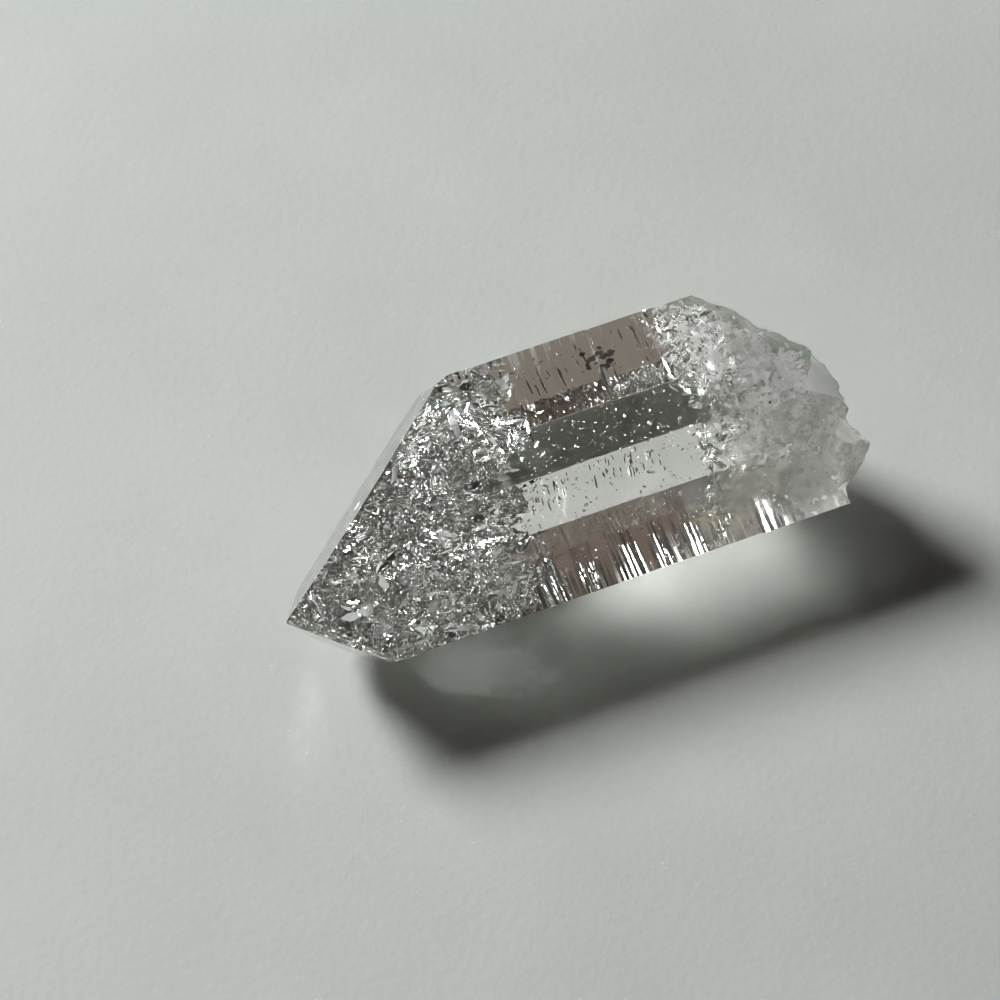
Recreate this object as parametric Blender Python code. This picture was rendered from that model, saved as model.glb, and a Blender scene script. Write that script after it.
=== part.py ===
"""A clear quartz crystal: a six-sided natural point, lying on one of its long faces.

The tip points towards -X, the broken root towards +X, and +Z is up. The origin is under the middle of
the crystal's box, at the level that it rests on.
"""

import math

import bmesh
import bpy
from mathutils import Vector, noise

# Sizes in metres
LENGTH = 0.072
ACROSS_FLATS = 0.0299
TIP_X = -0.036
ROOT_X = TIP_X + LENGTH
BLANK_OVERRUN = 0.006

# Quartz's own angles. A pyramid face's normal leans this far from the crystal's long axis
PYRAMID_LEAN = math.radians(51.8)
HALF_WIDTH = ACROSS_FLATS / 2

# Turn of each long face about the axis in degrees, 0 upwards and 90 to the back, with its growth ledges:
# where each one starts, and how far the face drops there, or rises where the number is negative
LONG_FACES = (
    (0, ((-0.0035, 0.00006), (0.0042, 0.00005), (0.0163, 0.00016))),
    (60, ((-0.0065, 0.00008), (0.0091, 0.00010), (0.0180, 0.00012))),
    (120, ((-0.0040, 0.00012), (0.0120, 0.00014))),
    (180, ()),
    (240, ((-0.0130, 0.00006), (0.0035, 0.00005), (0.0215, -0.00014))),
    (300, ((-0.0125, 0.00005), (0.0008, 0.00006), (0.0171, -0.00016))),
)
LEDGE_RUN = 0.00022

# Pyramid faces, one above each long face: its turn, and its distance from the crystal's middle
PYRAMID_FACES = (
    (0, 0.02868),
    (60, 0.01725),
    (120, 0.02010),
    (180, 0.02500),
    (240, 0.02730),
    (300, 0.03380),
)

# Small facets on corners and edges, the blunt tip first: the direction each one faces, and a point on it
SMALL_FACETS = (
    (Vector((-0.95, 0.12, -0.20)), Vector((-0.03590, -0.01230, 0.02350))),
    (Vector((-0.33, 0.82, 0.47)), Vector((-0.00890, 0.00835, 0.02976))),
    (Vector((-0.50, 0.02, 0.86)), Vector((-0.02745, -0.00860, 0.02912))),
    (Vector((-0.30, -0.88, 0.10)), Vector((-0.02500, -0.01690, 0.01500))),
)

# The break at the root: flat cuts that make its main shape, each a direction and a point on it
BREAK_PLANES = (
    (Vector((1.00, -0.02, -0.15)), Vector((0.0328, -0.0080, 0.0160))),
    (Vector((0.740, 0.650, 0.170)), Vector((0.0219, 0.0086, 0.0299))),
    (Vector((0.42, -0.36, 0.83)), Vector((0.0296, -0.0086, 0.0299))),
    (Vector((0.80, 0.10, -0.59)), Vector((0.0325, 0.0020, 0.0060))),
)
BREAK_BLEND = 0.0007
BREAK_BUMPS = ((0.0090, 0.00100), (0.0038, 0.00055), (0.0017, 0.00030))
BREAK_STEP = 0.00085

# A splinter that stands out of the break, and the notch under it: middle in y and z, radius, height
BREAK_MOUNDS = (
    (-0.0140, 0.0204, 0.0042, 0.0026),
    (-0.0156, 0.0164, 0.0024, -0.0012),
    (-0.0155, 0.0125, 0.0030, 0.0008),
    (0.0040, 0.0285, 0.0030, 0.0012),
    (0.0020, 0.0100, 0.0050, -0.0020),
)

# Shell-shaped chips knocked out of the edges: middle of the scoop, its radius
CHIPS = (
    (Vector((-0.0318, -0.01400, 0.03040)), 0.0046),
    (Vector((-0.0178, 0.00330, 0.03400)), 0.0045),
    (Vector((0.0262, -0.01940, 0.01780)), 0.0030),
    (Vector((0.0205, -0.02170, 0.01460)), 0.0045),
    (Vector((0.0060, 0.02060, 0.01600)), 0.0034),
    (Vector((-0.0205, -0.00800, -0.00350)), 0.0040),
    (Vector((0.0295, 0.00900, -0.00230)), 0.0036),
    (Vector((0.0225, 0.01050, 0.03290)), 0.0033),
)


def clear_scene():
    for item in list(bpy.data.objects):
        bpy.data.objects.remove(item, do_unlink=True)


def outward(turn):
    """The direction that a long face looks in, for its turn in degrees."""
    angle = math.radians(turn)
    return Vector((0.0, math.sin(angle), math.cos(angle)))


def face_distance(ledges, x):
    """A long face's distance from the axis at one place along it."""
    distance = HALF_WIDTH
    for start, drop in ledges:
        distance -= drop * min(max((x - start) / LEDGE_RUN, 0.0), 1.0)
    return distance


def ring(x):
    """The six corners of the crystal's outline at one place along its axis."""
    middle = Vector((x, 0.0, HALF_WIDTH))
    corners = []
    for index, (turn, ledges) in enumerate(LONG_FACES):
        next_turn, next_ledges = LONG_FACES[(index + 1) % 6]
        first, second = outward(turn), outward(next_turn)
        a, b = face_distance(ledges, x), face_distance(next_ledges, x)
        cos = first.dot(second)
        along_first = (a - b * cos) / (1 - cos * cos)
        along_second = (b - a * cos) / (1 - cos * cos)
        corners.append(middle + first * along_first + second * along_second)
    return corners


def stations():
    """Where the outline changes along the axis."""
    found = {TIP_X - BLANK_OVERRUN, ROOT_X + BLANK_OVERRUN}
    for _, ledges in LONG_FACES:
        for start, _ in ledges:
            found |= {start, start + LEDGE_RUN}
    return sorted(found)


def long_prism():
    """The six long faces with their ledges, closed at both ends."""
    mesh = bmesh.new()
    rings = [[mesh.verts.new(corner) for corner in ring(x)] for x in stations()]
    for near, far in zip(rings, rings[1:]):
        for index in range(6):
            after = (index + 1) % 6
            mesh.faces.new((near[index], near[after], far[after], far[index]))
    mesh.faces.new(rings[0])
    mesh.faces.new(rings[-1])
    bmesh.ops.recalc_face_normals(mesh, faces=mesh.faces)
    return mesh


def cut_flat(mesh, point, direction):
    """Takes away what lies beyond a plane, and closes the cut."""
    geometry = mesh.verts[:] + mesh.edges[:] + mesh.faces[:]
    cut = bmesh.ops.bisect_plane(
        mesh, geom=geometry, dist=1e-7, plane_co=point, plane_no=direction.normalized(), clear_outer=True
    )
    edges = [item for item in cut["geom_cut"] if isinstance(item, bmesh.types.BMEdge)]
    if edges:
        bmesh.ops.contextual_create(mesh, geom=edges)


def cut_tip(mesh):
    middle = Vector((0.0, 0.0, HALF_WIDTH))
    for turn, distance in PYRAMID_FACES:
        direction = outward(turn) * math.sin(PYRAMID_LEAN) - Vector((math.cos(PYRAMID_LEAN), 0.0, 0.0))
        cut_flat(mesh, middle + direction * distance, direction)
    for direction, point in SMALL_FACETS:
        cut_flat(mesh, point, direction)


def object_from(mesh, name):
    data = bpy.data.meshes.new(name)
    mesh.to_mesh(data)
    mesh.free()
    item = bpy.data.objects.new(name, data)
    bpy.context.scene.collection.objects.link(item)
    return item


def smooth_lowest(values, blend):
    """The lowest of several heights, with the crease between them rounded."""
    lowest = min(values)
    total = sum(math.exp((lowest - value) / blend) for value in values)
    return lowest - blend * math.log(total)


def break_x(y, z):
    """How far along the axis the broken root reaches at one place across it."""
    heights = []
    for direction, point in BREAK_PLANES:
        lean = direction.y * (y - point.y) + direction.z * (z - point.z)
        heights.append(point.x - lean / direction.x)
    x = smooth_lowest(heights, BREAK_BLEND)
    for mound_y, mound_z, radius, height in BREAK_MOUNDS:
        away = math.hypot(y - mound_y, z - mound_z) / radius
        x += height * max(0.0, 1.0 - away)
    for size, height in BREAK_BUMPS:
        place = Vector((y / size, z / size, 7.3 * size / 0.001))
        x += height * noise.noise(place)
    ridged = 1.0 - abs(noise.noise(Vector((y / 0.0042, z / 0.0027, 3.1)))) * 2.0
    return x + 0.0005 * ridged


def break_cutter():
    """Everything beyond the rough broken surface, as one closed block."""
    mesh = bmesh.new()
    columns = int(0.044 / BREAK_STEP)
    rows = int(0.038 / BREAK_STEP)
    grid = []
    for column in range(columns + 1):
        y = -0.022 + column * BREAK_STEP
        line = [-0.0038 + row * BREAK_STEP for row in range(rows + 1)]
        grid.append([mesh.verts.new((break_x(y, z), y, z)) for z in line])
    for column in range(columns):
        for row in range(rows):
            corners = (
                grid[column][row],
                grid[column][row + 1],
                grid[column + 1][row + 1],
                grid[column + 1][row],
            )
            mesh.faces.new(corners)
    rim = [edge for edge in mesh.edges if edge.is_boundary]
    made = bmesh.ops.extrude_edge_only(mesh, edges=rim)["geom"]
    for item in made:
        if isinstance(item, bmesh.types.BMVert):
            item.co.x = 0.055
    back = [item for item in made if isinstance(item, bmesh.types.BMEdge)]
    bmesh.ops.contextual_create(mesh, geom=back)
    bmesh.ops.recalc_face_normals(mesh, faces=mesh.faces)
    bmesh.ops.triangulate(mesh, faces=mesh.faces)
    return object_from(mesh, "root_break")


def chip_cutter(middle, radius, index):
    mesh = bmesh.new()
    bmesh.ops.create_icosphere(mesh, subdivisions=4, radius=radius)
    for vertex in mesh.verts:
        ripple = noise.noise(vertex.co / radius * 1.7 + Vector((index * 2.3, 0.4, 1.9)))
        vertex.co *= 1.0 + 0.06 * ripple
    bmesh.ops.translate(mesh, verts=mesh.verts, vec=middle)
    return object_from(mesh, f"chip_{index}")


def subtract(item, cutters):
    """Cuts each cutter out of the crystal in turn, and removes it."""
    for cutter in cutters:
        modifier = item.modifiers.new(cutter.name, "BOOLEAN")
        modifier.operation = "DIFFERENCE"
        modifier.solver = "EXACT"
        modifier.object = cutter
    graph = bpy.context.evaluated_depsgraph_get()
    data = bpy.data.meshes.new_from_object(item.evaluated_get(graph))
    item.modifiers.clear()
    item.data = data
    for cutter in cutters:
        bpy.data.objects.remove(cutter, do_unlink=True)


def tidy(item):
    """Joins points that nearly touch, so that no face is a sliver."""
    mesh = bmesh.new()
    mesh.from_mesh(item.data)
    bmesh.ops.remove_doubles(mesh, verts=mesh.verts, dist=0.00003)
    bmesh.ops.dissolve_degenerate(mesh, edges=mesh.edges, dist=0.00002)
    bmesh.ops.triangulate(mesh, faces=mesh.faces)
    bmesh.ops.recalc_face_normals(mesh, faces=mesh.faces)
    mesh.to_mesh(item.data)
    mesh.free()


def centre(item):
    """Moves the crystal so that the origin is under the middle of its box."""
    places = [vertex.co for vertex in item.data.vertices]
    middle_x = (min(place.x for place in places) + max(place.x for place in places)) / 2
    middle_y = (min(place.y for place in places) + max(place.y for place in places)) / 2
    for vertex in item.data.vertices:
        vertex.co.x -= middle_x
        vertex.co.y -= middle_y


def clear_quartz():
    material = bpy.data.materials.new("clear_quartz")
    material.use_nodes = True
    shader = material.node_tree.nodes["Principled BSDF"]
    shader.inputs["Base Color"].default_value = (0.93, 0.93, 0.92, 1.0)
    shader.inputs["Roughness"].default_value = 0.03
    shader.inputs["IOR"].default_value = 1.544
    shader.inputs["Transmission Weight"].default_value = 1.0
    return material


def build():
    clear_scene()
    mesh = long_prism()
    cut_tip(mesh)
    crystal = object_from(mesh, "quartz_crystal")
    cutters = [break_cutter()]
    for index, (middle, radius) in enumerate(CHIPS):
        cutters.append(chip_cutter(middle, radius, index))
    subtract(crystal, cutters)
    tidy(crystal)
    centre(crystal)
    crystal.data.materials.clear()
    crystal.data.materials.append(clear_quartz())


build()
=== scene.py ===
import math
import random

import bmesh
import bpy
from mathutils import Matrix, Vector, noise


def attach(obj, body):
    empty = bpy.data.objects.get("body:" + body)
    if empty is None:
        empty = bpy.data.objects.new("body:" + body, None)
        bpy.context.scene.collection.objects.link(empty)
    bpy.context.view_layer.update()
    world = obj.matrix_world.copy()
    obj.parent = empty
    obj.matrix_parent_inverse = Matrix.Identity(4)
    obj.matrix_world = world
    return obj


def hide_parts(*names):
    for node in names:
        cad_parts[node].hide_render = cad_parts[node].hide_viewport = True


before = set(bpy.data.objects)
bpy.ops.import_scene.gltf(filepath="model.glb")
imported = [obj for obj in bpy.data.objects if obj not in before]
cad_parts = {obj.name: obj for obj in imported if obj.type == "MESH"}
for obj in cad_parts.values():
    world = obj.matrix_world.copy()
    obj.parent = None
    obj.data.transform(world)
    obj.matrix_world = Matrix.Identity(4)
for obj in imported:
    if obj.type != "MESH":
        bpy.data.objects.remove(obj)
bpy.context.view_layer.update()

# The crystal's body. One natural quartz point, six long faces closed by pyramid faces at the tip. Each long
# face grew in thin steps, so it carries low ledges and fine lines across it, strongest on the faces that
# point down. All sizes here are in metres, along x from tip to root, with z = 0 where it rests.
ACROSS_FLATS = 0.0299
HALF_WIDTH = ACROSS_FLATS / 2
TIP_X = -0.036
ROOT_X = 0.036
OVERRUN = 0.006
MIDDLE_SHIFT = Vector((-0.000297, 0.000023, 0.0))
PYRAMID_LEAN = math.radians(51.8)
LEDGE_RUN = 0.00022
LEDGE_WANDER = 0.0006
STEPS_ALONG = 630
STEPS_ACROSS = 4

# Turn of each long face from straight up, its ledges, and how deep its growth lines are
TOP, UPPER_BACK, LOWER_BACK, UNDERSIDE, LOWER_NEAR, UPPER_NEAR = 0, 60, 120, 180, 240, 300
LONG_FACES = (
    (TOP, ((-0.0035, 0.00006), (0.0042, 0.00005), (0.0163, 0.00016)), 0.0000009),
    (UPPER_BACK, ((-0.0065, 0.00008), (0.0091, 0.00010), (0.0180, 0.00012)), 0.0000420),
    (LOWER_BACK, ((-0.0040, 0.00012), (0.0120, 0.00014)), 0.0000520),
    (UNDERSIDE, (), 0.0001000),
    (LOWER_NEAR, ((-0.0130, 0.00006), (0.0035, 0.00005), (0.0215, -0.00014)), 0.0000420),
    (UPPER_NEAR, ((-0.0125, 0.00005), (0.0008, 0.00006), (0.0171, -0.00016)), 0.0000008),
)
PYRAMID_FACES = (
    (TOP, 0.02868), (UPPER_BACK, 0.01725), (LOWER_BACK, 0.02010),
    (UNDERSIDE, 0.02500), (LOWER_NEAR, 0.02730), (UPPER_NEAR, 0.03380),
)
# Direction of each small facet, and a point on it
SMALL_FACETS = (
    ((-0.95, 0.12, -0.20), (-0.03590, -0.01230, 0.02350)),
    ((-0.33, 0.82, 0.47), (-0.00890, 0.00835, 0.02976)),
    ((-0.50, 0.02, 0.86), (-0.02745, -0.00860, 0.02912)),
    ((-0.30, -0.88, 0.10), (-0.02500, -0.01690, 0.01500)),
)

# How often the growth lines change in a metre, along the crystal and across a face
JOGS, PATCHES = (60.0, 70.0), (120.0, 90.0)
BROAD, CLOSE, FINE = (620.0, 18.0), (1600.0, 45.0), (3300.0, 90.0)
RIDGES, RIDGE_SWAY, RIDGE_HEIGHT = 1000.0, (430.0, 40.0), (520.0, 60.0)
CROWDING = {UNDERSIDE: 2.5, LOWER_NEAR: 2.1}
JOG_LENGTH = 0.0009


def outward(turn):
    angle = math.radians(turn)
    return Vector((0.0, math.sin(angle), math.cos(angle)))


def pyramid_outward(turn):
    return outward(turn) * math.sin(PYRAMID_LEAN) - Vector((math.cos(PYRAMID_LEAN), 0.0, 0.0))


def waves(x, across, often, tone):
    """Noise over a long face, between -1 and 1."""
    return noise.noise(Vector((x * often[0], across * often[1], tone)))


def growth_lines(turn, x, across):
    """The height of one face's lines, from -1 to 1. On the underside they are ridges, strong at the back."""
    place = (x + JOG_LENGTH * waves(x, across, JOGS, turn * 0.31)) * CROWDING.get(turn, 1.0)
    close = waves(place, across, CLOSE, turn * 1.13)
    fine = waves(place, across, FINE, turn * 1.71)
    strength = 0.55 + 0.9 * waves(x, across, PATCHES, 4.0 + turn)
    if turn == UNDERSIDE:
        height = 0.9 + 1.3 * waves(x, across, RIDGE_HEIGHT, 5.5)
        sway = 2.2 * waves(x, across, RIDGE_SWAY, 8.8)
        ridge = abs((x * RIDGES + sway) % 1.0 - 0.5) * 4.0 - 1.0
        strength = min(max((across + 0.0021 * strength) / 0.003, 0.20), 1.0)
        return strength * (0.50 * height * ridge + 0.15 * close + 0.10 * fine)
    if turn == LOWER_NEAR:
        strength = 0.75
    return max(strength, 0.08) * (0.9 * waves(place, across, BROAD, turn * 0.77) + 0.42 * close + 0.14 * fine)


def face_drop(ledges, x, across):
    """How far a face lies under its full height, past the ledges that it has stepped down."""
    drop = 0.0
    for index, (start, depth) in enumerate(ledges):
        here = start + LEDGE_WANDER * noise.noise(Vector((across * 130.0, index * 3.7, start * 500.0)))
        drop += depth * min(max((x - here) / LEDGE_RUN, 0.0), 1.0)
    return drop


body = bmesh.new()
bmesh.ops.create_cone(
    body, cap_ends=True, segments=6, radius1=HALF_WIDTH / math.cos(math.pi / 6),
    radius2=HALF_WIDTH / math.cos(math.pi / 6), depth=ROOT_X - TIP_X + 2 * OVERRUN,
)
bmesh.ops.rotate(body, verts=body.verts, matrix=Matrix.Rotation(math.radians(90), 3, "Y"))
bmesh.ops.translate(body, verts=body.verts, vec=(0.0, 0.0, HALF_WIDTH))
long_edges = [edge for edge in body.edges if abs(edge.verts[0].co.x - edge.verts[1].co.x) > 0.01]
bmesh.ops.subdivide_edges(body, edges=long_edges, cuts=STEPS_ALONG)
ring_edges = [edge for edge in body.edges if abs(edge.verts[0].co.x - edge.verts[1].co.x) < 1e-6]
bmesh.ops.subdivide_edges(body, edges=ring_edges, cuts=STEPS_ACROSS)
middle = Vector((0.0, 0.0, HALF_WIDTH))
for vertex in body.verts:
    radial = vertex.co - Vector((vertex.co.x, 0.0, HALF_WIDTH))
    pushes = []
    for turn, ledges, depth in LONG_FACES:
        direction = outward(turn)
        if radial.dot(direction) < HALF_WIDTH - 1e-5:
            continue
        across = radial.dot(direction.cross(Vector((1.0, 0.0, 0.0))))
        height = depth * growth_lines(turn, vertex.co.x, across) - face_drop(ledges, vertex.co.x, across)
        if turn == UNDERSIDE:
            height = min(height - 0.6 * depth, 0.0)
        pushes.append((direction, height))
    # A corner vertex belongs to two faces 60 degrees apart, and moves so that it lies on both.
    if len(pushes) == 2:
        (one, near), (other, far) = pushes
        vertex.co += one * ((near - 0.5 * far) / 0.75) + other * ((far - 0.5 * near) / 0.75)
    elif pushes:
        vertex.co += pushes[0][0] * pushes[0][1]


def cut_flat(mesh, point, direction):
    """The mesh cut off along a plane and closed there."""
    geometry = mesh.verts[:] + mesh.edges[:] + mesh.faces[:]
    cut = bmesh.ops.bisect_plane(
        mesh, geom=geometry, dist=1e-7, plane_co=point, plane_no=direction.normalized(), clear_outer=True
    )
    edges = [item for item in cut["geom_cut"] if isinstance(item, bmesh.types.BMEdge)]
    bmesh.ops.contextual_create(mesh, geom=edges)


for turn, distance in PYRAMID_FACES:
    lean = pyramid_outward(turn)
    cut_flat(body, middle + lean * distance, lean)
for direction, point in SMALL_FACETS:
    cut_flat(body, Vector(point), Vector(direction))
bmesh.ops.translate(body, verts=body.verts, vec=MIDDLE_SHIFT)
bmesh.ops.recalc_face_normals(body, faces=body.faces)
crystal_mesh = bpy.data.meshes.new("quartz_crystal_clear")
body.to_mesh(crystal_mesh)
body.free()
crystal = bpy.data.objects.new("quartz_crystal_clear", crystal_mesh)
bpy.context.scene.collection.objects.link(crystal)

IOR = 1.544
FROST_START, FROST_FULL, FROST_ROUGHNESS = 0.0215, 0.0275, 0.29
FROST_WANDER = 0.0110
FROST_LOW_Z, FROST_HIGH_Z, FROST_LAG = 0.0155, 0.0190, 0.0060


def set_or_link(tree, socket, value):
    if isinstance(value, bpy.types.NodeSocket):
        tree.links.new(value, socket)
    else:
        socket.default_value = value


def noise_over(tree, place, scale, detail):
    """A noise texture over the given coordinates."""
    made = tree.nodes.new("ShaderNodeTexNoise")
    made.inputs["Scale"].default_value = scale
    made.inputs["Detail"].default_value = detail
    tree.links.new(place, made.inputs["Vector"])
    return made.outputs["Fac"]


def mapped(tree, value, start, end, low, high):
    """A value between start and end, brought to between low and high."""
    made = tree.nodes.new("ShaderNodeMapRange")
    for name, number in (("From Min", start), ("From Max", end), ("To Min", low), ("To Max", high)):
        made.inputs[name].default_value = number
    tree.links.new(value, made.inputs["Value"])
    return made.outputs["Result"]


def reckon(tree, operation, *values):
    """One step of arithmetic on sockets and numbers."""
    made = tree.nodes.new("ShaderNodeMath")
    made.operation = operation
    for socket, value in zip(made.inputs, values):
        set_or_link(tree, socket, value)
    return made.outputs["Value"]


def bump_of(tree, height, strength, distance):
    made = tree.nodes.new("ShaderNodeBump")
    made.inputs["Distance"].default_value = distance
    set_or_link(tree, made.inputs["Strength"], strength)
    tree.links.new(height, made.inputs["Height"])
    return made


quartz = bpy.data.materials.new("clear_quartz")
quartz.use_nodes = True
tree = quartz.node_tree
shader = tree.nodes["Principled BSDF"]
shader.inputs["Base Color"].default_value = (0.99, 0.99, 0.99, 1.0)
shader.inputs["IOR"].default_value = IOR
shader.inputs["Transmission Weight"].default_value = 1.0
absorbing = tree.nodes.new("ShaderNodeVolumeAbsorption")
absorbing.inputs["Color"].default_value = (0.950, 0.946, 0.936, 1.0)
absorbing.inputs["Density"].default_value = 60.0
tree.links.new(absorbing.outputs["Volume"], tree.nodes["Material Output"].inputs["Volume"])
place = tree.nodes.new("ShaderNodeTexCoord").outputs["Object"]
split = tree.nodes.new("ShaderNodeSeparateXYZ")
tree.links.new(place, split.inputs["Vector"])
low_edge = mapped(tree, split.outputs["Z"], FROST_LOW_Z, FROST_HIGH_Z, -FROST_LAG, 0.0)
along = reckon(tree, "ADD", split.outputs["X"], low_edge)
clouds = noise_over(tree, place, 260.0, 5.0)
wander = reckon(tree, "MULTIPLY_ADD", clouds, FROST_WANDER, along)
frosting = mapped(tree, wander, FROST_START, FROST_FULL, 0.0, FROST_ROUGHNESS)
patches = mapped(tree, noise_over(tree, place, 950.0, 6.0), 0.35, 0.65, 0.45, 1.0)
dull = reckon(tree, "MULTIPLY", frosting, patches)
tree.links.new(dull, shader.inputs["Roughness"])
squeeze = tree.nodes.new("ShaderNodeMapping")
squeeze.inputs["Scale"].default_value = (2600.0, 45.0, 45.0)
tree.links.new(place, squeeze.inputs["Vector"])
relief = bump_of(tree, noise_over(tree, squeeze.outputs["Vector"], 1.0, 3.0), 0.10, 0.00001)
etched = bump_of(tree, noise_over(tree, place, 1900.0, 5.0), frosting, 0.00006)
tree.links.new(relief.outputs["Normal"], etched.inputs["Normal"])
tree.links.new(etched.outputs["Normal"], shader.inputs["Normal"])
crystal.data.materials.append(quartz)

# The broken root. Rough, stepped fracture across the crystal's end, where it came off the rock, and
# shell-shaped chips knocked out of its edges. The break is grainy and half clear, the chips are clear.
BREAK_PLANES = (
    ((1.00, -0.02, -0.15), (0.0328, -0.0080, 0.0160)),
    ((0.740, 0.650, 0.170), (0.0219, 0.0086, 0.0299)),
    ((0.42, -0.36, 0.83), (0.0296, -0.0086, 0.0299)),
    ((0.80, 0.10, -0.59), (0.0325, 0.0020, 0.0060)),
)
BREAK_BLEND = 0.0007
# Size and height of each grade of bump, then place, radius and height of each mound or hollow
BREAK_BUMPS = ((0.0090, 0.00100), (0.0038, 0.00055), (0.0017, 0.00042), (0.0008, 0.00024))
BREAK_MOUNDS = (
    (-0.0140, 0.0204, 0.0042, 0.0026),
    (-0.0156, 0.0164, 0.0024, -0.0012),
    (-0.0155, 0.0125, 0.0030, 0.0008),
    (0.0040, 0.0285, 0.0030, 0.0012),
    (0.0020, 0.0100, 0.0050, -0.0020),
)
CREST_HEIGHT, CREST_WIDE, CREST_TALL = 0.0005, 0.0042, 0.0027
BREAK_HALF_WIDE, BREAK_HALF_TALL, BREAK_MIDDLE_Z = 0.022, 0.019, 0.0152
PAST_THE_ROOT = 0.055
CHIPS = (
    ((-0.0318, -0.01400, 0.03040), 0.0046), ((-0.0178, 0.00330, 0.03400), 0.0045),
    ((0.0262, -0.01940, 0.01780), 0.0030), ((0.0205, -0.02170, 0.01460), 0.0045),
    ((0.0060, 0.02060, 0.01600), 0.0034), ((-0.0205, -0.00800, -0.00350), 0.0040),
    ((0.0295, 0.00900, -0.00230), 0.0036), ((0.0225, 0.01050, 0.03290), 0.0033),
)


def break_x(y, z):
    """How far along the crystal the break lies. The lowest of its planes counts, softened where two meet."""
    heights = []
    for direction, point in BREAK_PLANES:
        aside = direction[1] * (y - point[1]) + direction[2] * (z - point[2])
        heights.append(point[0] - aside / direction[0])
    lowest = min(heights)
    total = sum(math.exp((lowest - height) / BREAK_BLEND) for height in heights)
    x = lowest - BREAK_BLEND * math.log(total)
    for mound_y, mound_z, radius, height in BREAK_MOUNDS:
        x += height * max(0.0, 1.0 - math.hypot(y - mound_y, z - mound_z) / radius)
    for size, height in BREAK_BUMPS:
        x += height * noise.noise(Vector((y / size, z / size, 7.3 * size / 0.001)))
    return x + CREST_HEIGHT * (1.0 - abs(noise.noise(Vector((y / CREST_WIDE, z / CREST_TALL, 3.1)))) * 2.0)


def cloudy(name, scale, one, other, rough, clearness):
    """Quartz whose colour drifts between two shades, with its own roughness and clearness."""
    made = bpy.data.materials.new(name)
    made.use_nodes = True
    tree = made.node_tree
    shader = tree.nodes["Principled BSDF"]
    shader.inputs["Roughness"].default_value = rough
    shader.inputs["IOR"].default_value = IOR
    shader.inputs["Transmission Weight"].default_value = clearness
    place = tree.nodes.new("ShaderNodeTexCoord").outputs["Object"]
    shades = tree.nodes.new("ShaderNodeValToRGB")
    shades.color_ramp.elements[0].position = 0.35
    shades.color_ramp.elements[0].color = one
    shades.color_ramp.elements[1].position = 0.65
    shades.color_ramp.elements[1].color = other
    tree.links.new(noise_over(tree, place, scale, 4.0), shades.inputs["Fac"])
    tree.links.new(shades.outputs["Color"], shader.inputs["Base Color"])
    return made


broken = cloudy("broken_quartz", 350.0, (0.93, 0.92, 0.91, 1.0), (0.99, 0.99, 0.99, 1.0), 0.36, 0.70)
tree = broken.node_tree
place = tree.nodes["Texture Coordinate"].outputs["Object"]
dents = bump_of(tree, noise_over(tree, place, 1500.0, 4.0), 0.8, 0.00012)
tree.links.new(dents.outputs["Normal"], tree.nodes["Principled BSDF"].inputs["Normal"])
crystal.data.materials.append(broken)

block = bmesh.new()
bmesh.ops.create_grid(block, x_segments=150, y_segments=130, size=1.0)
for vertex in block.verts:
    y, z = vertex.co.x * BREAK_HALF_WIDE, BREAK_MIDDLE_Z + vertex.co.y * BREAK_HALF_TALL
    vertex.co = Vector((break_x(y, z), y, z)) + MIDDLE_SHIFT
rim = [edge for edge in block.edges if edge.is_boundary]
made = bmesh.ops.extrude_edge_only(block, edges=rim)["geom"]
for item in made:
    if isinstance(item, bmesh.types.BMVert):
        item.co.x = PAST_THE_ROOT
bmesh.ops.contextual_create(block, geom=[item for item in made if isinstance(item, bmesh.types.BMEdge)])
bmesh.ops.recalc_face_normals(block, faces=block.faces)
blocks = [block]
for number, (centre, radius) in enumerate(CHIPS):
    block = bmesh.new()
    bmesh.ops.create_icosphere(block, subdivisions=4, radius=radius)
    for vertex in block.verts:
        ripple = noise.noise(vertex.co / radius * 1.7 + Vector((number * 2.3, 0.4, 1.9)))
        ripple += 0.16 * noise.noise(vertex.co / radius * 7.0 + Vector(((number + 1) * 1.3, 2.0, 5.1)))
        vertex.co = vertex.co * (1.0 + 0.06 * ripple) + Vector(centre) + MIDDLE_SHIFT
    blocks.append(block)
cutters = []
for block in blocks:
    block_mesh = bpy.data.meshes.new("root_break")
    block.to_mesh(block_mesh)
    block.free()
    cutter = bpy.data.objects.new("root_break", block_mesh)
    bpy.context.scene.collection.objects.link(cutter)
    cutter.data.materials.append(quartz if cutters else broken)
    cutters.append(cutter)
    cut = crystal.modifiers.new("root_break", "BOOLEAN")
    cut.operation = "DIFFERENCE"
    cut.solver = "EXACT"
    cut.material_mode = "TRANSFER"
    cut.object = cutter
graph = bpy.context.evaluated_depsgraph_get()
finished = bpy.data.meshes.new_from_object(crystal.evaluated_get(graph))
crystal.modifiers.clear()
crystal.data = finished
for cutter in cutters:
    bpy.data.objects.remove(cutter, do_unlink=True)

# Cracks inside the crystal. Thin air-filled flaws in the quartz itself, crowded in the tip half, as crumbs,
# broad curved sheets and white tufts, with fine bubbles under the two upper faces and a crushed, milky zone
# before the broken root. Each one is a closed hollow, so its faces point into the air inside it.
milky = cloudy("milky_crack", 500.0, (0.93, 0.93, 0.93, 1.0), (0.99, 0.99, 0.99, 1.0), 0.5, 0.30)
stain = cloudy("iron_stain", 700.0, (0.055, 0.038, 0.024, 1.0), (0.14, 0.10, 0.07, 1.0), 0.6, 0.35)
crystal.data.materials.append(milky)
crystal.data.materials.append(stain)
CLEAR, MILKY, STAINED = 0, 2, 3

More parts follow.
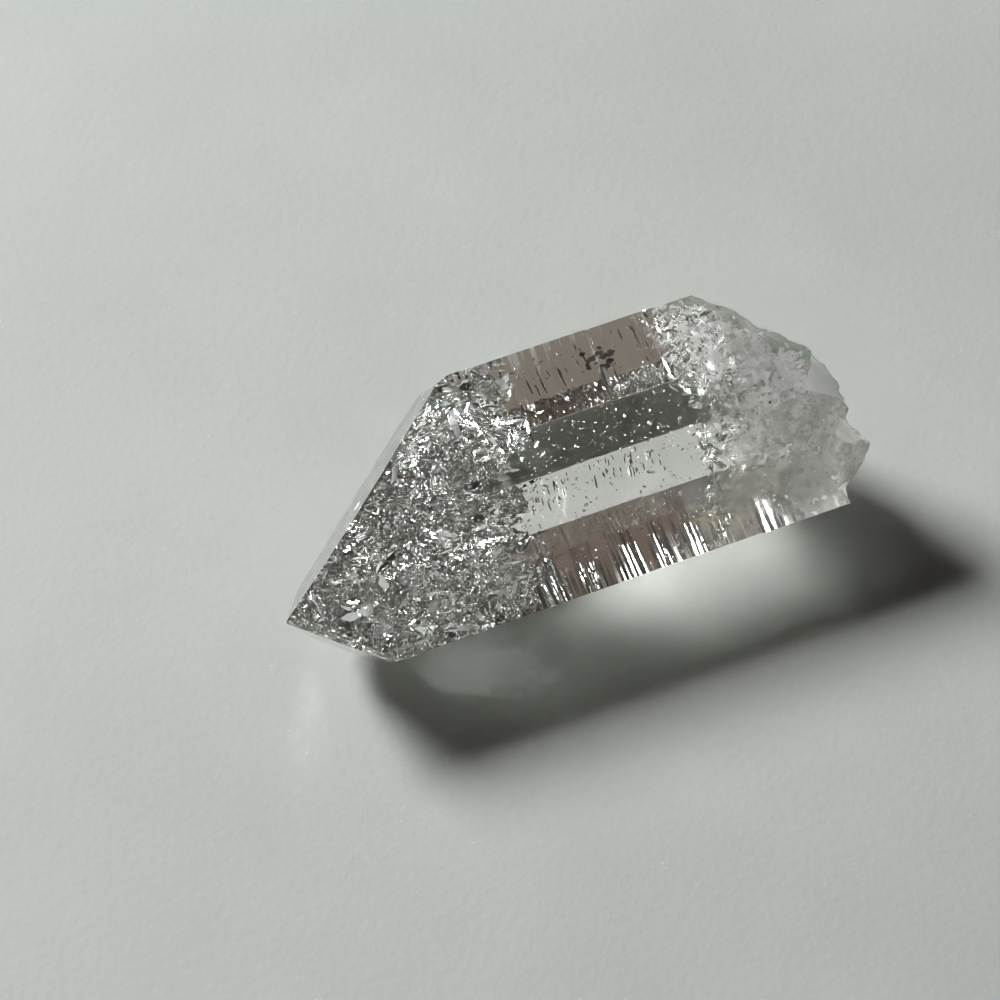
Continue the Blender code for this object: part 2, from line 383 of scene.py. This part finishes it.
CRUMBS, SHEETS, CRUSHED, BUBBLES, FLAKES, BLOTCHES = 2250, 680, 2200, 520, 230, 20
CRUMB_SIZE, TUFT_SIZE, SKIN_TUFT_SIZE, CRUSHED_SIZE = 0.00013, 0.00013, 0.00011, 0.00009
BUBBLE_SIZE, FLAKE_SIZE, BLOTCH_SIZE = 0.00008, 0.000055, 0.00022
SHEET_SIZES, FACING_SHEET, MILKY_SHEET = (0.0005, 0.0014), 0.0010, 0.0008
# Where each kind lies along x, and how deep under a face the shallow ones are
CRUMB_REACH, SHEET_REACH, CRUSHED_REACH = (-0.035, 0.002), (-0.033, 0.001), (0.0165, 0.0320)
BUBBLE_REACH, BUBBLE_DEPTHS = (-0.010, 0.017), (0.00035, 0.0010)
FLAKE_REACH, FLAKE_ACROSS, FLAKE_DEPTHS = (-0.004, 0.0165), (-0.0083, -0.0005), (0.0005, 0.0020)
BLOTCH_X, BLOTCH_Y, BLOTCH_DEPTH = (0.0093, 0.0012), (0.0047, 0.0009), 0.0005
SKIN_TUFT_DEPTHS = (0.0003, 0.0022)
DRIP_DEPTH, DRIP_THICK, DRIP_NARROW = 0.00040, 0.00002, 0.00006
# The front where the cracks of the tip half end, and over what length they thin out
FRONT_X, FRONT_SLANT, FRONT_BACK, FRONT_UNEVEN, FRONT_FADE = -0.0058, 0.26, 0.0030, 0.0035, 0.0035
# Facings that mirror the window through the top face and the upper near face, and the dim room
TO_WINDOW, TO_WINDOW_NEAR, TO_ROOM = (-0.20, 0.0, 0.98), (-0.215, -0.19, 0.958), (0.08, 0.42, 0.89)
TOP_NEAR_EDGE = -0.0086
MARGIN = 0.00006
BREAK_MARGIN = 0.0005
BATCH = 100
MOST_TRIES = 30

# Middle, spread and number of each white tuft
TUFTS = (
    ((-0.0128, 0.0040, 0.0284), 0.0020, 210), ((-0.0160, 0.0012, 0.0280), 0.0016, 120),
    ((-0.0066, 0.0022, 0.0284), 0.0015, 110), ((-0.0050, -0.0012, 0.0280), 0.0021, 240),
    ((-0.0085, 0.0055, 0.0285), 0.0013, 50), ((-0.0247, -0.0082, 0.0280), 0.0007, 30),
    ((-0.0252, -0.0095, 0.0265), 0.0009, 40), ((-0.0200, -0.0100, 0.0235), 0.0014, 60),
    ((-0.0110, -0.0125, 0.0205), 0.0009, 45), ((-0.0129, -0.0135, 0.0180), 0.0004, 12),
    ((-0.0150, -0.0045, 0.0270), 0.0013, 50), ((-0.0215, -0.0035, 0.0270), 0.0012, 40),
    ((-0.0300, -0.0110, 0.0240), 0.0010, 24), ((-0.0105, -0.0138, 0.0190), 0.0017, 90),
    ((-0.0080, -0.0145, 0.0168), 0.0013, 60), ((-0.0120, -0.0105, 0.0235), 0.0022, 110),
)
# The face that each lies under, its reach along x and across the face, and the number
SKIN_TUFTS = (
    (TOP, 0.0170, 0.0245, -0.0045, 0.0085, 470),
    (UPPER_NEAR, 0.0163, 0.0180, -0.0070, 0.0070, 90),
)
# The same for the iron films, with their length before the number
DRIPS = (
    (UPPER_NEAR, -0.0065, 0.0005, 0.0040, 0.0080, 0.00020, 36),
    (UPPER_NEAR, 0.0030, 0.0115, 0.0048, 0.0080, 0.00022, 34),
    (TOP, -0.0010, 0.0155, -0.0010, 0.0080, 0.00055, 30),
)

chance = random.Random(41)


def room_left(spot, reach):
    """How far a crack that reaches this far along each direction stays inside the crystal's skin."""
    x, y, z = spot
    from_middle = Vector(spot) - middle
    left = 1.0
    for turn, ledges, depth in LONG_FACES:
        drop = max(0.0, sum(fall for start, fall in ledges if x > start - 0.001)) + depth
        left = min(left, HALF_WIDTH - drop - from_middle.dot(outward(turn)) - reach(outward(turn)))
    for turn, distance in PYRAMID_FACES:
        lean = pyramid_outward(turn)
        left = min(left, distance - from_middle.dot(lean) - reach(lean))
    for direction, point in SMALL_FACETS:
        facet = Vector(direction).normalized()
        left = min(left, (Vector(point) - Vector(spot)).dot(facet) - reach(facet))
    for centre, radius in CHIPS:
        apart = Vector(spot) - Vector(centre)
        left = min(left, apart.length - 1.06 * radius - reach(apart.normalized()))
    if x > 0.012:
        left = min(left, break_x(y, z) - x - BREAK_MARGIN - reach(Vector((1.0, 0.0, 0.0))))
    return left


def direction_any():
    z = chance.uniform(-1.0, 1.0)
    angle = chance.uniform(0.0, math.tau)
    flat = math.sqrt(1.0 - z * z)
    return Vector((flat * math.cos(angle), flat * math.sin(angle), z))


def scattered(facing, spread):
    return (Vector(facing) + Vector([chance.gauss(0.0, spread) for axis in range(3)])).normalized()


def sparkling(spot, spread):
    """A facing that sends the window's light back up through the face above the spot."""
    under_top = spot[1] > TOP_NEAR_EDGE + 0.3 * (ACROSS_FLATS - spot[2])
    return scattered(TO_WINDOW if under_top else TO_WINDOW_NEAR, spread)


def shaded(spread):
    """A facing that shows the dim room behind the crystal."""
    return scattered(TO_ROOM, spread)


def crack(mesh, spot, facing, sizes, rough, finer=1, look=CLEAR, lie=None):
    """One flattened hollow of this length, width and thickness, left out where it would break through."""
    turned = facing.to_track_quat("Z", "Y").to_matrix() @ Matrix.Rotation(chance.uniform(0, math.tau), 3, "Z")
    if lie:
        turned = Matrix((lie, facing.cross(lie), facing)).transposed()

    def reach(along):
        local = turned.transposed() @ along
        return (1.0 + rough) * math.sqrt(sum((size * part) ** 2 for size, part in zip(sizes, local)))

    if room_left(spot, reach) < MARGIN:
        return False
    scaled = turned @ Matrix.Diagonal(sizes)
    if finer:
        made = bmesh.ops.create_icosphere(mesh, subdivisions=finer, radius=1.0)["verts"]
    else:
        made = bmesh.ops.create_cube(mesh, size=1.6)["verts"]
    bend = chance.uniform(-0.35, 0.35)
    tone = Vector((chance.random(), chance.random(), chance.random())) * 40.0
    for vertex in made:
        local = vertex.co.copy()
        local *= 1.0 + rough * noise.noise(local * 1.9 + tone)
        local.z += bend * (local.x * local.x - 0.4) * 1.4
        vertex.co = scaled @ local + Vector(spot) + MIDDLE_SHIFT
    for face in {face for vertex in made for face in vertex.link_faces}:
        face.material_index = look
    return True


def in_tip_half(x, y, z):
    """The share of cracks kept at a place: all of them near the tip, none past an uneven front."""
    crowd = 0.48 + 2.5 * noise.noise(Vector((x * 330.0, y * 330.0, z * 330.0 + 7.0)))
    front = FRONT_X + FRONT_SLANT * (y + 0.004)
    front += FRONT_BACK * min(max((y - 0.004) / 0.008, 0.0), 1.0)
    front += FRONT_UNEVEN * noise.noise(Vector((y * 190.0, z * 190.0, 2.2)))
    return min(max((front - x) / FRONT_FADE, 0.0), 1.0) * max(crowd, 0.10)


def gather(wanted, place_one):
    """Cracks made a batch at a time, added to the crystal's own mesh."""
    made, tries = 0, 0
    while made < wanted and tries < wanted * MOST_TRIES:
        batch = bmesh.new()
        in_batch = 0
        while in_batch < BATCH and made < wanted and tries < wanted * MOST_TRIES:
            tries += 1
            if place_one(batch):
                in_batch += 1
                made += 1
        bmesh.ops.reverse_faces(batch, faces=batch.faces)
        part_mesh = bpy.data.meshes.new("crack")
        batch.to_mesh(part_mesh)
        batch.free()
        whole.from_mesh(part_mesh)
        bpy.data.meshes.remove(part_mesh)


def anywhere(x_from, x_to):
    return (
        chance.uniform(x_from, x_to),
        chance.uniform(-HALF_WIDTH * 1.15, HALF_WIDTH * 1.15),
        chance.uniform(0.0, ACROSS_FLATS),
    )


def about(size, more, spread):
    return size * math.exp(chance.gauss(more, spread))


def crumb(mesh):
    spot = anywhere(*CRUMB_REACH)
    if chance.random() > in_tip_half(*spot):
        return False
    size = about(CRUMB_SIZE, 0.42, 0.5)
    bright = 0.15 if spot[1] > TOP_NEAR_EDGE else 0.06
    facing = sparkling(spot, 0.12) if chance.random() < bright else direction_any()
    if chance.random() < 0.50:
        facing = shaded(0.10)
    sizes = (size * chance.uniform(1.4, 3.4), size * 0.9, size * chance.uniform(0.04, 0.14))
    return crack(mesh, spot, facing, sizes, 0.5)


def sheet(mesh):
    """A broad thin crack. Some of the smaller ones face the dim room, and some low down are milky."""
    spot = anywhere(*SHEET_REACH)
    if chance.random() > in_tip_half(*spot):
        return False
    size = chance.uniform(*SHEET_SIZES)
    facing = (direction_any() + Vector((0.35, 0.75, 0.35)) * chance.choice((-1.0, 1.0))).normalized()
    if chance.random() < 0.35 and size < FACING_SHEET:
        facing = shaded(0.16)
    look = MILKY if chance.random() < 0.3 and size < MILKY_SHEET and spot[2] < 0.020 else CLEAR
    return crack(mesh, spot, facing, (size * 1.8, size, size * 0.035), 0.75, chance.choice((1, 1, 2)), look)


def tuft(mesh):
    centre, spread, number = group
    spot = [chance.gauss(middle_at, spread * share) for middle_at, share in zip(centre, (1.0, 0.8, 0.6))]
    size = about(TUFT_SIZE, 0.55, 0.5)
    facing = sparkling(spot, 0.07) if chance.random() < 0.42 else shaded(0.2)
    look = MILKY if chance.random() < 0.12 else CLEAR
    sizes = (size * chance.uniform(1.8, 4.2), size * 0.85, size * chance.uniform(0.05, 0.2))
    return crack(mesh, spot, facing, sizes, 0.5, look=look)


def crushed(mesh):
    """A crumb of the crushed zone, which thickens towards the break and turns milky there."""
    spot = anywhere(*CRUSHED_REACH)
    near = min((spot[0] - 0.0172 + 0.10 * (spot[1] + 0.004)) / 0.005, 1.0)
    if spot[2] < 0.0175 - 0.5 * min(spot[1] + 0.006, 0.0) or chance.random() > near:
        return False
    size = about(CRUSHED_SIZE, 0.40, 0.5)
    look = MILKY if chance.random() < 0.5 + 60.0 * (spot[0] - 0.0205) else CLEAR
    facing = sparkling(spot, 0.14) if chance.random() < 0.8 else direction_any()
    return crack(mesh, spot, facing, (size * 2.6, size, size * chance.uniform(0.08, 0.3)), 0.5, 0, look)


def under_face(turn, depth, across):
    """A place this deep under a long face, before its x is set, and the direction across that face."""
    side = outward(turn).cross(Vector((1.0, 0.0, 0.0)))
    return middle + outward(turn) * (HALF_WIDTH - depth) + side * across, side


def skin_tuft(mesh):
    turn, x_from, x_to, low, high, number = group
    spot, side = under_face(turn, chance.uniform(*SKIN_TUFT_DEPTHS), chance.uniform(low, high))
    spot.x = chance.uniform(x_from, x_to)
    size = about(SKIN_TUFT_SIZE, 0.5, 0.5)
    look = MILKY if chance.random() < 0.15 else CLEAR
    facing = sparkling(spot, 0.08) if chance.random() < 0.55 else direction_any()
    return crack(mesh, spot, facing, (size * 2.4, size, size * chance.uniform(0.06, 0.25)), 0.5, look=look)


def bubble(mesh):
    turn = chance.choice((TOP, TOP, UPPER_NEAR, UPPER_NEAR, UPPER_NEAR))
    across = chance.uniform(-HALF_WIDTH * 0.55, HALF_WIDTH * 0.55)
    spot, side = under_face(turn, chance.uniform(*BUBBLE_DEPTHS), across)
    spot.x = chance.uniform(*BUBBLE_REACH)
    size = about(BUBBLE_SIZE, 0.2, 0.4)
    facing = direction_any()
    return crack(mesh, spot, facing, (size * chance.uniform(1.2, 3.0), size, size * 0.7), 0.2)


def flake(mesh):
    """A fine bright flake just under the top face, over the dark middle."""
    x, y = chance.uniform(*FLAKE_REACH), chance.uniform(*FLAKE_ACROSS)
    spot = (x, y, ACROSS_FLATS - chance.uniform(*FLAKE_DEPTHS))
    size = about(FLAKE_SIZE, 0.2, 0.35)
    facing = sparkling(spot, 0.04)
    return crack(mesh, spot, facing, (size * chance.uniform(1.0, 1.6), size, size * 0.05), 0.15)


def drip(mesh):
    """A brown iron film in a hair crack just under a face, lying along the growth lines."""
    turn, x_from, x_to, low, high, long, number = group
    spot, side = under_face(turn, DRIP_DEPTH, chance.uniform(low, high))
    spot.x = chance.uniform(x_from, x_to)
    lie = (side + Vector((chance.gauss(0.0, 0.05), 0.0, 0.0))).normalized()
    size = about(long, 0.2, 0.55)
    facing = outward(turn)
    facing = (facing - lie * facing.dot(lie)).normalized()
    sizes = (size * 1.5, DRIP_NARROW + size * 0.06, DRIP_THICK)
    return crack(mesh, spot, facing, sizes, 0.45, look=STAINED, lie=lie)


def blotch(mesh):
    """Part of the one brown patch under the top face."""
    spot = (chance.gauss(*BLOTCH_X), chance.gauss(*BLOTCH_Y), ACROSS_FLATS - BLOTCH_DEPTH)
    size = about(BLOTCH_SIZE, 0.2, 0.35)
    return crack(mesh, spot, Vector((0.0, 0.0, 1.0)), (size * 1.4, size, 0.00005), 0.3, look=STAINED)


whole = bmesh.new()
whole.from_mesh(crystal.data)
gather(CRUMBS, crumb)
gather(SHEETS, sheet)
for group in TUFTS:
    gather(group[-1], tuft)
for group in SKIN_TUFTS:
    gather(group[-1], skin_tuft)
gather(CRUSHED, crushed)
gather(BUBBLES, bubble)
gather(FLAKES, flake)
for group in DRIPS:
    gather(group[-1], drip)
gather(BLOTCHES, blotch)
bmesh.ops.dissolve_degenerate(whole, dist=1e-7, edges=whole.edges)
whole.to_mesh(crystal.data)
whole.free()
for polygon in crystal.data.polygons:
    polygon.use_smooth = False
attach(crystal, "root")
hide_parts("quartz_crystal")

# The floor. A wide pale painted board with the faint unevenness of brushed paint. It carries the shadow
# and the light that comes through the crystal.
FLOOR_HALF = 0.5
floor_mesh = bpy.data.meshes.new("floor")
board = bmesh.new()
bmesh.ops.create_grid(board, x_segments=1, y_segments=1, size=FLOOR_HALF)
board.to_mesh(floor_mesh)
board.free()
floor = bpy.data.objects.new("floor", floor_mesh)
bpy.context.scene.collection.objects.link(floor)
paint = bpy.data.materials.new("pale_paint")
paint.use_nodes = True
tree = paint.node_tree
shader = tree.nodes["Principled BSDF"]
place = tree.nodes.new("ShaderNodeTexCoord").outputs["Object"]
brushed = noise_over(tree, place, 26.0, 8.0)
brushed.node.inputs["Roughness"].default_value = 0.62
shades = tree.nodes.new("ShaderNodeValToRGB")
shades.color_ramp.elements[0].position = 0.25
shades.color_ramp.elements[0].color = (0.560, 0.585, 0.560, 1.0)
shades.color_ramp.elements[1].position = 0.75
shades.color_ramp.elements[1].color = (0.635, 0.650, 0.630, 1.0)
tree.links.new(brushed, shades.inputs["Fac"])
tree.links.new(shades.outputs["Color"], shader.inputs["Base Color"])
uneven = bump_of(tree, noise_over(tree, place, 900.0, 3.0), 0.25, 0.00025)
tree.links.new(uneven.outputs["Normal"], shader.inputs["Normal"])
shader.inputs["Roughness"].default_value = 0.8
floor.data.materials.append(paint)

# Light. One broad window-like lamp from the upper left, and a dim warm room, given as soft patches of
# light in the world: the side towards the viewer, and two behind the crystal.
WINDOW_AIM, WINDOW_WIDE, WINDOW_TALL = Vector((-0.58, 0.66, 1.0)), 0.27, 0.29
lamp = bpy.data.lights.new("window", "AREA")
lamp.shape = "RECTANGLE"
lamp.size, lamp.size_y = WINDOW_WIDE, WINDOW_TALL
lamp.energy = 10.5
lamp.color = (0.98, 1.0, 0.985)
window = bpy.data.objects.new("window", lamp)
bpy.context.scene.collection.objects.link(window)
window.location = WINDOW_AIM.normalized()
window.rotation_euler = WINDOW_AIM.to_track_quat("Z", "Y").to_euler()

# Direction, tightness and colour of each patch
PATCHES_OF_LIGHT = (
    ((0.10, -0.98, 0.08), 5.0, (0.046, 0.038, 0.031)),
    ((0.12, -0.98, 0.10), 60.0, (0.170, 0.150, 0.128)),
    ((0.45, -0.88, 0.10), 40.0, (0.26, 0.24, 0.22)),
    ((-0.30, -0.95, 0.08), 45.0, (0.42, 0.39, 0.36)),
    ((0.15, 0.46, 0.87), 100.0, (0.165, 0.132, 0.112)),
    ((-0.28, 0.47, 0.83), 170.0, (1.00, 0.99, 0.97)),
)
DARKEST = (0.014, 0.012, 0.010, 1.0)


def reckon_vector(tree, operation, **values):
    """One step of arithmetic on vectors, with its inputs by place or name."""
    made = tree.nodes.new("ShaderNodeVectorMath")
    made.operation = operation
    for key, value in values.items():
        set_or_link(tree, made.inputs[{"one": 0, "other": 1}.get(key, key)], value)
    return made


room = bpy.data.worlds.new("room")
bpy.context.scene.world = room
room.use_nodes = True
tree = room.node_tree
tree.nodes["Background"].inputs["Strength"].default_value = 1.0
gaze = tree.nodes.new("ShaderNodeTexCoord").outputs["Generated"]
base = tree.nodes.new("ShaderNodeRGB")
base.outputs[0].default_value = DARKEST
total = base.outputs[0]
for aim, tightness, tint in PATCHES_OF_LIGHT:
    toward = reckon_vector(tree, "DOT_PRODUCT", one=gaze, other=Vector(aim).normalized()).outputs["Value"]
    focus = reckon(tree, "POWER", reckon(tree, "MAXIMUM", toward, 0.0), tightness)
    glow = reckon_vector(tree, "SCALE", one=tint, Scale=focus).outputs["Vector"]
    total = reckon_vector(tree, "ADD", one=total, other=glow).outputs["Vector"]
tree.links.new(total, tree.nodes["Background"].inputs["Color"])

# The camera, high on the near side, looking down at the crystal. The picture is made with plain colours,
# and light may pass from air to quartz and back often enough to cross many cracks.
eye = bpy.data.cameras.new("camera")
eye.lens = 132.2
eye.sensor_width = 36.0
eye.clip_start = 0.01
camera = bpy.data.objects.new("camera", eye)
bpy.context.scene.collection.objects.link(camera)
back = Vector((-0.1463, -0.4962, 0.8558)).normalized()
right = Vector((0.9354, -0.3510, -0.0436))
right = (right - back * right.dot(back)).normalized()
turned = Matrix((right, back.cross(right), back)).transposed().to_4x4()
camera.matrix_world = Matrix.Translation((-0.0706, -0.22008, 0.3926)) @ turned
bpy.context.scene.camera = camera

bpy.context.scene.view_settings.view_transform = "Standard"
cycles = bpy.context.scene.cycles
cycles.max_bounces = 18
cycles.transmission_bounces = 18
cycles.glossy_bounces = 12
cycles.diffuse_bounces = 4
cycles.caustics_reflective = True
cycles.caustics_refractive = True
cycles.blur_glossy = 0.0
cycles.sample_clamp_indirect = 0.0
cycles.use_denoising = True
